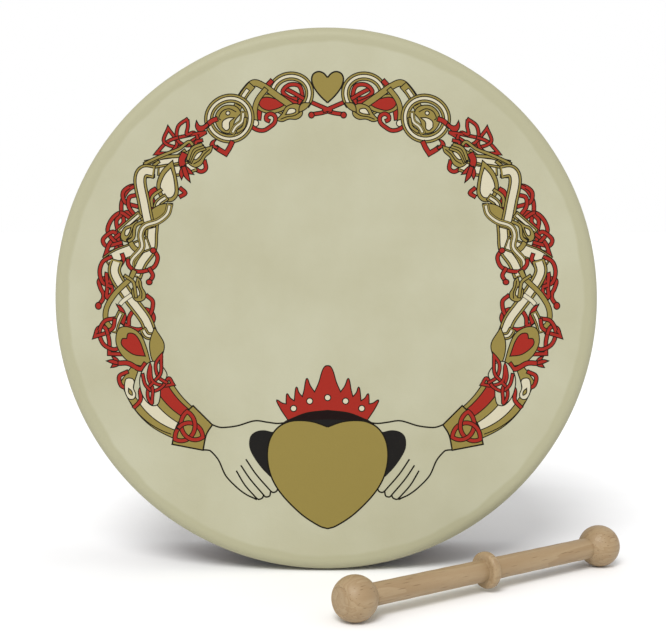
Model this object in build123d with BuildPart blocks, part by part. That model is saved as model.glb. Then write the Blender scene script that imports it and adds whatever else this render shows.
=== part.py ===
"""Bodhran (Irish frame drum) standing on its rim, with its beater lying in front of it.

The drum's axis is Y. The playing face is the plane y = 0 and looks along -Y, the open back looks
along +Y, and the centre of the playing face is the origin. Drum and beater stand on one table.
"""

from build123d import *
from math import asin, cos, radians, sin, sqrt
import os

os.makedirs("parts", exist_ok=True)

# ---- Driving dimensions (mm) ------------------------------------------------

# Shell: a bent wooden hoop
SHELL_DIAMETER = 305.0
SHELL_WALL = 9.0
SHELL_DEPTH = 76.0
BEARING_ROUND = 5.6  # outer round of the edge that the skin bends over
INNER_ROUND = 1.5
EDGE_LAND = 0.2  # least flat left between those two rounds
BACK_ROUND = 2.0

# Skin, and the band that covers its cut edge
SKIN_THICKNESS = 0.8
BEND_CLEARANCE = 0.6  # how much tighter the skin bends than the shell's round, so they don't bind
BAND_THICKNESS = 0.9
BAND_SETBACK = 12.0  # from the playing face to the band's front edge
BAND_WIDTH = 15.0

# Round-headed nails through band and skin
NAIL_COUNT = 24
NAIL_HEAD_DIAMETER = 9.0
NAIL_HEAD_RISE = 1.0
NAIL_HEAD_SINK = 0.2  # how deep the head beds into the band
NAIL_HEAD_RIM = 0.3  # how far the head's straight rim stands above the band
NAIL_FACETS = 4  # conical facets from the rim to the top of the hammered head
NAIL_SHANK_DIAMETER = 1.6
NAIL_LENGTH = 8.0
NAIL_TIP = 2.0

# Two crossed bars, half-lapped where they meet
BAR_WIDTH = 22.0
BAR_THICKNESS = 10.0
BAR_ROUND = 2.5
BAR_INSET = 4.0  # from the back rim to the bars' back face

# Countersunk wood screws
BAR_SCREW_DIAMETER = 4.0
BAR_SCREW_HEAD_DIAMETER = 8.0
BAR_SCREW_LENGTH = 34.0
LAP_SCREW_DIAMETER = 3.0
LAP_SCREW_HEAD_DIAMETER = 6.0
LAP_SCREW_LENGTH = 8.5
SCREW_SINK = 0.3  # a head lies this far below the wood's surface
SCREW_SLOT_WIDTH = 0.9
SCREW_SLOT_DEPTH = 0.8

# Beater, turned in one piece
BALL_DIAMETER = 23.5
BALL_SPACING = 178.4  # between the centres of the two balls
END_FACE_DIAMETER = 15.1
END_GROOVE = 0.4  # groove round each flat end face
BEATER_SHAFT_DIAMETER = 11.7
NECK_GROOVE = 0.5  # groove where the shaft meets a ball or the ring
RING_DIAMETER = 19.6
RING_THICKNESS = 5.4
RING_ROUND = 1.9

# Where the beater lies: its near ball, seen from the point under the drum's centre
NEAR_BALL_X = 14.6
NEAR_BALL_Y = -93.9
BEATER_TURN = 37.3  # degrees, from +X towards +Y

# ---- Sizes that follow ------------------------------------------------------

SHELL_RADIUS = SHELL_DIAMETER / 2
INNER_RADIUS = SHELL_RADIUS - SHELL_WALL
REBATE_RADIUS = SHELL_RADIUS - SKIN_THICKNESS - BAND_THICKNESS
SKIN_RADIUS = REBATE_RADIUS + SKIN_THICKNESS
EDGE_ROUND = min(BEARING_ROUND, REBATE_RADIUS - INNER_RADIUS - INNER_ROUND - EDGE_LAND)
SKIN_BEND = EDGE_ROUND - BEND_CLEARANCE
SHELL_FRONT = SKIN_THICKNESS
SHELL_BACK = SHELL_FRONT + SHELL_DEPTH
BAND_BACK = BAND_SETBACK + BAND_WIDTH
NAIL_Y = BAND_SETBACK + BAND_WIDTH / 2
BAR_BACK = SHELL_BACK - BAR_INSET
BAR_FRONT = BAR_BACK - BAR_THICKNESS
BAR_MIDDLE = (BAR_FRONT + BAR_BACK) / 2
TABLE_Z = -SHELL_RADIUS


def spoke(angle: float, y: float, radius: float) -> Plane:
    """Plane on the drum's side at a radius, its normal pointing outwards; 0 degrees is +X."""
    out = Vector(cos(radians(angle)), 0, sin(radians(angle)))
    return Plane(origin=out * radius + Vector(0, y, 0), x_dir=(0, 1, 0), z_dir=out)


def countersunk_screw(diameter: float, head_diameter: float, length: float) -> Part:
    """Wood screw along -Z, the flat of its head at z = 0, with a slot and a pointed end."""
    head_height = (head_diameter - diameter) / 2
    with BuildPart() as screw:
        with BuildSketch(Plane.XZ):
            with BuildLine():
                Polyline(
                    (0, 0),
                    (head_diameter / 2, 0),
                    (diameter / 2, -head_height),
                    (diameter / 2, diameter - length),
                    (0, -length),
                    close=True,
                )
            make_face()
        revolve(axis=Axis.Z)
        with BuildSketch(Plane.XY):
            Rectangle(2 * head_diameter, SCREW_SLOT_WIDTH)
        extrude(amount=-SCREW_SLOT_DEPTH, mode=Mode.SUBTRACT)
    return screw.part


# ---- Nails (the shell, skin and band are pierced by them) -------------------

rim = NAIL_HEAD_DIAMETER / 2
shank = NAIL_SHANK_DIAMETER / 2
dome_rise = NAIL_HEAD_RISE - NAIL_HEAD_RIM
dome_radius = (rim**2 + dome_rise**2) / (2 * dome_rise)
facet_angle = asin(rim / dome_radius) / NAIL_FACETS
dome_angles = [i * facet_angle for i in range(NAIL_FACETS + 1)]

with BuildPart() as nail:
    with BuildSketch(Plane.XZ):
        with BuildLine():
            Polyline(
                *[
                    (dome_radius * sin(a), NAIL_HEAD_RISE - dome_radius * (1 - cos(a)))
                    for a in dome_angles
                ],
                (rim, -NAIL_HEAD_SINK),
                (shank, -NAIL_HEAD_SINK),
                (shank, NAIL_TIP - NAIL_LENGTH),
                (0, -NAIL_LENGTH),
                close=True,
            )
        make_face()
    revolve(axis=Axis.Z)

nail_pitch = 360 / NAIL_COUNT
lowest_gap = -90 + nail_pitch / 2  # the drum stands between two nails
with BuildPart() as band_nails:
    with Locations(
        *[spoke(lowest_gap + i * nail_pitch, NAIL_Y, SHELL_RADIUS) for i in range(NAIL_COUNT)]
    ):
        add(nail.part)

# ---- Screws -----------------------------------------------------------------

with BuildPart() as bar_screws:
    with Locations(
        *[spoke(quarter * 90, BAR_MIDDLE, SHELL_RADIUS - SCREW_SINK) for quarter in range(4)]
    ):
        add(countersunk_screw(BAR_SCREW_DIAMETER, BAR_SCREW_HEAD_DIAMETER, BAR_SCREW_LENGTH))

with BuildPart() as lap_screw:
    with Locations(Plane(origin=(0, BAR_BACK - SCREW_SINK, 0), x_dir=(1, 0, 1), z_dir=(0, 1, 0))):
        add(countersunk_screw(LAP_SCREW_DIAMETER, LAP_SCREW_HEAD_DIAMETER, LAP_SCREW_LENGTH))

# ---- Shell ------------------------------------------------------------------

with BuildPart() as shell:
    with BuildSketch(Plane.XY):
        with BuildLine():
            Polyline(
                (INNER_RADIUS, SHELL_FRONT + INNER_ROUND),
                (INNER_RADIUS, SHELL_BACK),
                (SHELL_RADIUS, SHELL_BACK),
                (SHELL_RADIUS, BAND_BACK),
                (REBATE_RADIUS, BAND_BACK),
                (REBATE_RADIUS, SHELL_FRONT + EDGE_ROUND),
            )
            RadiusArc(
                (REBATE_RADIUS, SHELL_FRONT + EDGE_ROUND),
                (REBATE_RADIUS - EDGE_ROUND, SHELL_FRONT),
                EDGE_ROUND,
            )
            Line(
                (REBATE_RADIUS - EDGE_ROUND, SHELL_FRONT),
                (INNER_RADIUS + INNER_ROUND, SHELL_FRONT),
            )
            RadiusArc(
                (INNER_RADIUS + INNER_ROUND, SHELL_FRONT),
                (INNER_RADIUS, SHELL_FRONT + INNER_ROUND),
                INNER_ROUND,
            )
        make_face()
    revolve(axis=Axis.Y)
    fillet(shell.faces().sort_by(Axis.Y)[-1].edges(), BACK_ROUND)
    add(band_nails.part, mode=Mode.SUBTRACT)
    add(bar_screws.part, mode=Mode.SUBTRACT)

# ---- Drumhead: flat face, bend over the bearing edge, skirt down the side ---

with BuildPart() as drumhead:
    flat_radius = REBATE_RADIUS - SKIN_BEND
    outer_bend = SKIN_BEND + SKIN_THICKNESS
    with BuildSketch(Plane.XY):
        with BuildLine():
            Line((0, 0), (flat_radius, 0))
            RadiusArc((flat_radius, 0), (SKIN_RADIUS, outer_bend), -outer_bend)
            Polyline(
                (SKIN_RADIUS, outer_bend),
                (SKIN_RADIUS, BAND_BACK),
                (REBATE_RADIUS, BAND_BACK),
                (REBATE_RADIUS, SKIN_THICKNESS + SKIN_BEND),
            )
            RadiusArc(
                (REBATE_RADIUS, SKIN_THICKNESS + SKIN_BEND),
                (flat_radius, SKIN_THICKNESS),
                SKIN_BEND,
            )
            Polyline((flat_radius, SKIN_THICKNESS), (0, SKIN_THICKNESS), (0, 0))
        make_face()
    revolve(axis=Axis.Y)
    add(band_nails.part, mode=Mode.SUBTRACT)

# ---- Band over the skin's edge ----------------------------------------------

with BuildPart() as skin_band:
    with BuildSketch(Plane.XZ.offset(-BAND_SETBACK)):
        Circle(SHELL_RADIUS)
        Circle(SKIN_RADIUS, mode=Mode.SUBTRACT)
    extrude(amount=-BAND_WIDTH)
    add(band_nails.part, mode=Mode.SUBTRACT)

# ---- Crossed bars -----------------------------------------------------------

with BuildPart() as shell_hollow:
    with BuildSketch(Plane.XZ):
        Circle(INNER_RADIUS)
    extrude(amount=-2 * SHELL_BACK)


def crossbar(turn: float, lap_from: float) -> Part:
    """Bar across the shell, turned about the drum's axis, with half its thickness cut at the lap.

    lap_from is the y where the lap's cut starts; it takes half of the bar's thickness.
    """
    with BuildPart() as bar:
        with BuildSketch(Plane.XZ.offset(-BAR_FRONT)):
            Rectangle(SHELL_DIAMETER, BAR_WIDTH, rotation=turn)
        extrude(amount=-BAR_THICKNESS)
        along = Axis.X if turn == 0 else Axis.Z
        fillet(bar.edges().filter_by(along), BAR_ROUND)
        add(shell_hollow.part, mode=Mode.INTERSECT)
        with BuildSketch(Plane.XZ.offset(-lap_from)):
            Rectangle(BAR_WIDTH, BAR_WIDTH)
        extrude(amount=-BAR_THICKNESS / 2, mode=Mode.SUBTRACT)
        add(bar_screws.part, mode=Mode.SUBTRACT)
        add(lap_screw.part, mode=Mode.SUBTRACT)
    return bar.part


with BuildPart() as crossbar_level:
    add(crossbar(turn=0, lap_from=BAR_MIDDLE))

with BuildPart() as crossbar_upright:
    add(crossbar(turn=90, lap_from=BAR_FRONT))

# ---- Beater -----------------------------------------------------------------

with BuildPart() as beater:
    ball = BALL_DIAMETER / 2
    shaft = BEATER_SHAFT_DIAMETER / 2
    end_face = END_FACE_DIAMETER / 2
    ring = RING_DIAMETER / 2
    face_x = -sqrt(ball**2 - end_face**2)
    neck_x = sqrt(ball**2 - shaft**2)
    ring_x = (BALL_SPACING - RING_THICKNESS) / 2
    with BuildSketch(Plane.XY):
        with BuildLine():
            Polyline(
                (BALL_SPACING / 2, 0),
                (face_x, 0),
                (face_x, end_face - 2 * END_GROOVE),
                (face_x + END_GROOVE, end_face - END_GROOVE),
                (face_x, end_face),
            )
            RadiusArc((face_x, end_face), (neck_x, shaft), ball)
            Polyline(
                (neck_x, shaft),
                (neck_x + NECK_GROOVE / 2, shaft - NECK_GROOVE / 2),
                (neck_x + NECK_GROOVE, shaft),
                (ring_x - NECK_GROOVE, shaft),
                (ring_x, shaft - NECK_GROOVE / 2),
                (ring_x, ring - RING_ROUND),
            )
            RadiusArc((ring_x, ring - RING_ROUND), (ring_x + RING_ROUND, ring), RING_ROUND)
            Polyline(
                (ring_x + RING_ROUND, ring),
                (BALL_SPACING / 2, ring),
                (BALL_SPACING / 2, 0),
            )
        make_face()
    revolve(axis=Axis.X)
    mirror(about=Plane.YZ.offset(BALL_SPACING / 2))

beater_direction = Vector(cos(radians(BEATER_TURN)), sin(radians(BEATER_TURN)), 0)
with BuildPart() as tipper:
    with Locations(
        Plane(
            origin=(NEAR_BALL_X, NEAR_BALL_Y, TABLE_Z + BALL_DIAMETER / 2),
            x_dir=beater_direction,
            z_dir=(0, 0, 1),
        )
    ):
        add(beater.part)

# ---- Finished pieces --------------------------------------------------------

pieces = {
    "shell": shell,
    "drumhead": drumhead,
    "skin_band": skin_band,
    "band_nails": band_nails,
    "crossbar_level": crossbar_level,
    "crossbar_upright": crossbar_upright,
    "bar_screws": bar_screws,
    "lap_screw": lap_screw,
    "tipper": tipper,
}
for name, piece in pieces.items():
    piece.part.label = name
    export_step(piece.part, f"parts/{name}.step")
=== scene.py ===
"""Looks of a bodhran that stands on its rim, with its beater lying in front of it.

The drum's axis is Y, its playing face looks along -Y, and z is up. Lengths are in millimetres in
the classes below and in metres in Blender.
"""

from __future__ import annotations

import logging
from dataclasses import dataclass, field
from enum import Enum
from math import atan2, ceil, cos, hypot, pi, radians, sin, sqrt
from typing import Callable

import bmesh
import bpy
from mathutils import Matrix, Vector
from mathutils.geometry import delaunay_2d_cdt


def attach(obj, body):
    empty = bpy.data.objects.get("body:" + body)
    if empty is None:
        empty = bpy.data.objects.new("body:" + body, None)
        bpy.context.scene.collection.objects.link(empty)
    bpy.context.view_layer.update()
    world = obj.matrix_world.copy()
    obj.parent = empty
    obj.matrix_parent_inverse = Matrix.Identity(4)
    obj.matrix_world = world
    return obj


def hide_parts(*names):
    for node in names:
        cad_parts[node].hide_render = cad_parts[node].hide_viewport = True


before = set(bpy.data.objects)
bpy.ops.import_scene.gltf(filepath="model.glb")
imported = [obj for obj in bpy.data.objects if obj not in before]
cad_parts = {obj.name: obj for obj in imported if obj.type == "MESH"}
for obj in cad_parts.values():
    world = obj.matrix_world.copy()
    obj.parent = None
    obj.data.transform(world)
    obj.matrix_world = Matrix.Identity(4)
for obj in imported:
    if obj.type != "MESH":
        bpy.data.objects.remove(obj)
log = logging.getLogger("bodhran")

MM = 0.001
Point = tuple[float, float]
Point3 = tuple[float, float, float]


class Ink(Enum):
    """What an area of the printed design is covered with."""

    SKIN = 0
    GOLD = 1
    RED = 2
    CREAM = 3
    LINE = 4
    CHARCOAL = 5
    MAROON = 6


class Slot(Enum):
    """The record's material slots."""

    SHELL = "shell_wood"
    SKIN = "goatskin"
    BAND = "band_leather"
    NAILS = "nail_brass"
    BARS = "bar_wood"
    SCREWS = "screw_steel"
    TIPPER = "tipper_beech"


# ---- Drawing ----------------------------------------------------------------


@dataclass(frozen=True)
class Stroke:
    """Cross-section of a drawn ribbon: its inks and their half widths, widest first.

    Args:
        layers: pairs of ink and half width in mm.
    """

    layers: tuple[tuple[Ink, float], ...]

    @property
    def reach(self) -> float:
        """Half of the ribbon's whole width."""
        return self.layers[0][1]


OUTLINE = 0.56  # width of the dark line along a ribbon's edges
STEP = 0.8  # longest distance between the points of a curve
NEAR = 1e-9  # lengths below this are nothing
KNOT_CELL = 3.0  # side of the squares in which crossings are looked for
BRIDGE = 0.25  # how far a ribbon that passes over runs past the edges of the lower one
FLATTEST = 0.45  # sine of the flattest crossing that a bridge is lengthened for


def plain(ink: Ink, width: float) -> Stroke:
    """Ribbon of one ink with a dark outline."""
    return Stroke(((Ink.LINE, width / 2), (ink, width / 2 - OUTLINE)))


def channelled(width: float, channel: float, line: float = OUTLINE) -> Stroke:
    """Gold ribbon with a cream channel down its middle and a dark line at each edge.

    Args:
        width: of the whole ribbon.
        channel: width of the channel.
        line: width of the dark lines.

    Returns:
        Its cross-section.
    """
    return Stroke(
        (
            (Ink.LINE, width / 2),
            (Ink.GOLD, width / 2 - line),
            (Ink.LINE, channel / 2 + line),
            (Ink.CREAM, channel / 2),
        )
    )


CORD = plain(Ink.RED, 2.7)
THIN = plain(Ink.RED, 2.35)
STRAP = plain(Ink.RED, 3.2)
LIMB = plain(Ink.GOLD, 3.4)
ROD = plain(Ink.GOLD, 2.3)
RINGED = channelled(5.2, 1.3)
BROAD = channelled(7.6, 3.7)
RAIL = channelled(4.6, 1.2)
FINE = Stroke(((Ink.LINE, 0.3),))
BOLD = Stroke(((Ink.LINE, 0.44),))


def unit(x: float, y: float) -> Point:
    """The vector at length 1, or a zero vector."""
    length = hypot(x, y)
    return (x / length, y / length) if length > NEAR else (0.0, 0.0)


def turning(points: list[Point]) -> float:
    """Twice the signed area of a closed outline, positive when it runs anticlockwise."""
    return sum(a[0] * b[1] - b[0] * a[1] for a, b in zip(points, points[1:] + points[:1]))


def span(a: Point, b: Point, c: Point, d: Point, step: float) -> list[Point]:
    """Part of a smooth curve from b to c, without c.

    Args:
        a: the point before b.
        b: where the part starts.
        c: where the part ends.
        d: the point after c.
        step: longest distance between points.

    Returns:
        The part's points.
    """
    n = max(1, ceil(hypot(c[0] - b[0], c[1] - b[1]) / step))
    out = [b]
    for k in range(1, n):
        t = k / n
        w = (-t + 2 * t**2 - t**3, 2 - 5 * t**2 + 3 * t**3, t + 4 * t**2 - 3 * t**3, t**3 - t**2)
        x, y = (0.5 * sum(f * p[i] for f, p in zip(w, (a, b, c, d))) for i in (0, 1))
        out.append((x, y))
    return out


def smooth(points: list[Point], closed: bool = False, step: float = STEP) -> list[Point]:
    """Smooth curve through the points, with a sharp corner at each point given twice.

    Args:
        points: what the curve goes through.
        closed: whether it ends where it starts.
        step: longest distance between the curve's points.

    Returns:
        The curve's points; a closed curve doesn't repeat its first.
    """
    if closed:
        corner = next((i for i, p in enumerate(points) if p == points[(i + 1) % len(points)]), None)
        if corner is not None:
            turned = points[corner + 1 :] + points[: corner + 1]
            return smooth(turned + turned[:1], step=step)[:-1]
        ring = points[-1:] + points + points[:2]
        return [p for i in range(len(points)) for p in span(*ring[i : i + 4], step)]
    parts: list[list[Point]] = [[points[0]]]
    for p in points[1:]:
        if p == parts[-1][-1]:
            parts.append([p])
        else:
            parts[-1].append(p)
    out: list[Point] = []
    for s in parts:
        if len(s) < 2:
            continue
        before = (2 * s[0][0] - s[1][0], 2 * s[0][1] - s[1][1])
        after = (2 * s[-1][0] - s[-2][0], 2 * s[-1][1] - s[-2][1])
        q = [before, *s, after]
        for i in range(len(s) - 1):
            out += span(*q[i : i + 4], step)
    return out + [points[-1]]


def arc(centre: Point, radius: float, start: float, end: float, step: float = STEP) -> list[Point]:
    """Points of an arc.

    Args:
        centre: its centre.
        radius: its radius.
        start: first angle in degrees, anticlockwise from +x.
        end: last angle.
        step: longest distance between points.

    Returns:
        The points, both ends included.
    """
    n = max(2, ceil(abs(radians(end - start)) * radius / step))
    angles = [radians(start + (end - start) * k / n) for k in range(n + 1)]
    return [(centre[0] + radius * cos(a), centre[1] + radius * sin(a)) for a in angles]


def placed(
    points: list[Point], at: Point = (0, 0), turn: float = 0, size: float = 1, flip: bool = False
) -> list[Point]:
    """Flips, scales, turns and moves a motif to its place.

    Args:
        points: the motif's own points.
        at: where its origin goes.
        turn: degrees, anticlockwise.
        size: factor.
        flip: whether it is mirrored first.

    Returns:
        The points in their place.
    """
    c, s = cos(radians(turn)) * size, sin(radians(turn)) * size
    sign = -1 if flip else 1
    return [(at[0] + c * x - s * y * sign, at[1] + s * x + c * y * sign) for x, y in points]


def sides(
    path: list[Point], half: float, closed: bool, grow: float
) -> tuple[list[Point], list[Point]]:
    """Both edges of a ribbon, mitred at its corners.

    Args:
        path: the ribbon's centreline.
        half: half of its width.
        closed: whether the path's last point repeats its first.
        grow: how far its ends go past the path, or less than zero to fall short.

    Returns:
        The left and the right edge.
    """
    n = len(path)
    left, right = [], []
    for i, (x, y) in enumerate(path):
        if closed:
            before, after = path[i - 1 if i else n - 2], path[i + 1 if i < n - 1 else 1]
        else:
            before, after = path[max(i - 1, 0)], path[min(i + 1, n - 1)]
        into, onward = unit(x - before[0], y - before[1]), unit(after[0] - x, after[1] - y)
        if into == (0, 0):
            into = onward
        if onward == (0, 0):
            onward = into
        m = unit(into[0] + onward[0], into[1] + onward[1])
        if m == (0, 0):
            m = into
        # the mitre of a sharp corner is cut short
        wide = half * min(1 / max(0.2, m[0] * into[0] + m[1] * into[1]), 2.2)
        if not closed and i in (0, n - 1):
            sign = -grow if i == 0 else grow
            x, y = x + sign * m[0], y + sign * m[1]
        left.append((x - m[1] * wide, y + m[0] * wide))
        right.append((x + m[1] * wide, y - m[0] * wide))
    return left, right


@dataclass(frozen=True)
class Crossing:
    """Where two ribbons cross.

    Args:
        ways: each ribbon's number and position along its path.
        sine: of the angle between them.
    """

    ways: tuple[tuple[int, float], tuple[int, float]]
    sine: float


def crossings(paths: list[list[Point]]) -> list[Crossing]:
    """Finds where paths cross one another and themselves.

    Args:
        paths: dense paths; one is closed if its last point repeats its first.

    Returns:
        The crossings.
    """
    runs = [
        (i, j, p, q) for i, path in enumerate(paths) for j, (p, q) in enumerate(zip(path, path[1:]))
    ]
    grid: dict[tuple[int, int], list[int]] = {}
    for k, (_, _, p, q) in enumerate(runs):
        spans = [
            range(int(min(p[i], q[i]) // KNOT_CELL), int(max(p[i], q[i]) // KNOT_CELL) + 1)
            for i in (0, 1)
        ]
        for gx in spans[0]:
            for gy in spans[1]:
                grid.setdefault((gx, gy), []).append(k)
    found: dict[tuple[int, int], Crossing] = {}
    pairs = {(a, b) for near in grid.values() for a in near for b in near if a < b}
    for a, b in sorted(pairs):
        (i, j, p, q), (m, n, r, s) = runs[a], runs[b]
        last = len(paths[i]) - 1
        looped = paths[i][0] == paths[i][-1]
        if i == m and (abs(j - n) < 3 or (looped and last - abs(j - n) < 3)):
            continue
        ux, uy, vx, vy = q[0] - p[0], q[1] - p[1], s[0] - r[0], s[1] - r[1]
        cross = ux * vy - uy * vx
        if abs(cross) < NEAR:
            continue
        t = ((r[0] - p[0]) * vy - (r[1] - p[1]) * vx) / cross
        u = ((r[0] - p[0]) * uy - (r[1] - p[1]) * ux) / cross
        if 0 <= t < 1 and 0 <= u < 1:
            sine = abs(cross) / (hypot(ux, uy) * hypot(vx, vy))
            found[(a, b)] = Crossing(((i, j + t), (m, n + u)), sine)
    return list(found.values())


def stretch(path: list[Point], where: float, reach: float) -> list[Point]:
    """The part of a path that lies within reach of a position on it.

    Args:
        path: the path; it is closed if its last point repeats its first.
        where: the position, as a point's number and a share of the run after it.
        reach: distance either way along the path.

    Returns:
        The part's points.
    """
    closed = path[0] == path[-1]
    n = len(path) - 1

    def point(position: float) -> Point:
        """Point at a position."""
        position = position % n if closed else min(max(position, 0), n)
        k = min(int(position), n - 1)
        f = position - k
        a, b = path[k], path[k + 1]
        return (a[0] * (1 - f) + b[0] * f, a[1] * (1 - f) + b[1] * f)

    halves = []
    for sign in (-1, 1):
        out: list[Point] = []
        position, last, gone = where, point(where), 0.0
        while gone < reach:
            step = int(position) + 1 if sign > 0 else ceil(position) - 1
            if not closed and not 0 <= step <= n:
                break
            p = point(step)
            d = hypot(p[0] - last[0], p[1] - last[1])
            if gone + d >= reach:
                f = (reach - gone) / d
                out.append((last[0] + (p[0] - last[0]) * f, last[1] + (p[1] - last[1]) * f))
                break
            if d > NEAR:
                out.append(p)
            gone += d
            last, position = p, step
        halves.append(out)
    return halves[0][::-1] + [point(where)] + halves[1]


@dataclass
class Drawing:
    """Areas of ink in painter's order, later ones over earlier ones.

    Args:
        mapping: takes a motif's points to the plane of the skin.
        areas: pairs of ink and anticlockwise outline.
    """

    mapping: Callable[[Point], Point] = field(default=lambda p: p)
    areas: list[tuple[Ink, list[Point]]] = field(default_factory=list)

    def fill(self, ink: Ink, outline: list[Point]) -> None:
        """Fills an outline with one ink.

        Args:
            ink: the ink.
            outline: dense outline in the motif's own coordinates.
        """
        points = [self.mapping(p) for p in outline]
        if turning(points) < 0:
            points.reverse()
        self.areas.append((ink, points))

    def lay(self, path: list[Point], stroke: Stroke, closed: bool, butt: bool) -> None:
        """Draws a ribbon along a dense path in the plane of the skin.

        Args:
            path: its centreline.
            stroke: its cross-section.
            closed: whether the path ends where it starts.
            butt: whether its ends stay without an outline.
        """
        for ink, half in stroke.layers:
            lined = not closed and not butt and len(stroke.layers) > 1
            grow = half - stroke.reach + OUTLINE if lined else 0.0
            left, right = sides(path, half, closed, grow)
            for i in range(len(left) - 1):
                a, b, c, d = right[i], right[i + 1], left[i + 1], left[i]
                for face in ([a, b, c], [a, c, d]):
                    # a side that folds back at a tight bend turns its face over
                    if abs(turning(face)) > 1e-6:
                        self.areas.append((ink, face if turning(face) > 0 else face[::-1]))

    def band(self, path: list[Point], stroke: Stroke, closed: bool = False) -> None:
        """Draws a ribbon along a dense path in the motif's own coordinates."""
        self.lay([self.mapping(p) for p in path], stroke, closed, False)

    def ribbon(self, points: list[Point], stroke: Stroke) -> None:
        """Draws an open ribbon along a smooth curve through the points."""
        self.band(smooth(points), stroke)

    def shape(self, ink: Ink, points: list[Point], line: Stroke = FINE) -> None:
        """Fills a smooth closed outline and draws its line.

        Args:
            ink: what it is filled with.
            points: what the outline goes through.
            line: how the outline is drawn.
        """
        outline = smooth(points, closed=True)
        self.fill(ink, outline)
        self.band(outline + outline[:1], line, closed=True)

    def dot(self, ink: Ink, at: Point, radius: float, step: float = 0.5) -> None:
        """Draws a round spot."""
        self.shape(ink, arc(at, radius, 0, 360, step)[:-1])

    def weave(self, ribbons: list[tuple[list[Point], Stroke]]) -> None:
        """Draws ribbons so that each passes over and under the others in turn.

        Args:
            ribbons: pairs of dense path and stroke.
        """
        paths = [[self.mapping(p) for p in path] for path, _ in ribbons]
        strokes = [stroke for _, stroke in ribbons]
        for path, stroke in zip(paths, strokes):
            self.lay(path, stroke, path[0] == path[-1], False)
        events = crossings(paths)
        over: dict[int, int] = {}
        for i in range(len(paths)):
            level = True
            passes = [
                (e.ways[side][1], k, side)
                for k, e in enumerate(events)
                for side in (0, 1)
                if e.ways[side][0] == i
            ]
            for _, k, side in sorted(passes):
                over.setdefault(k, side if level else 1 - side)
                level = over[k] != side
        for k, e in enumerate(events):
            upper, lower = e.ways[over[k]], e.ways[1 - over[k]]
            reach = (strokes[lower[0]].reach + BRIDGE) / max(FLATTEST, e.sine)
            self.lay(stretch(paths[upper[0]], upper[1], reach), strokes[upper[0]], False, True)


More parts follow.
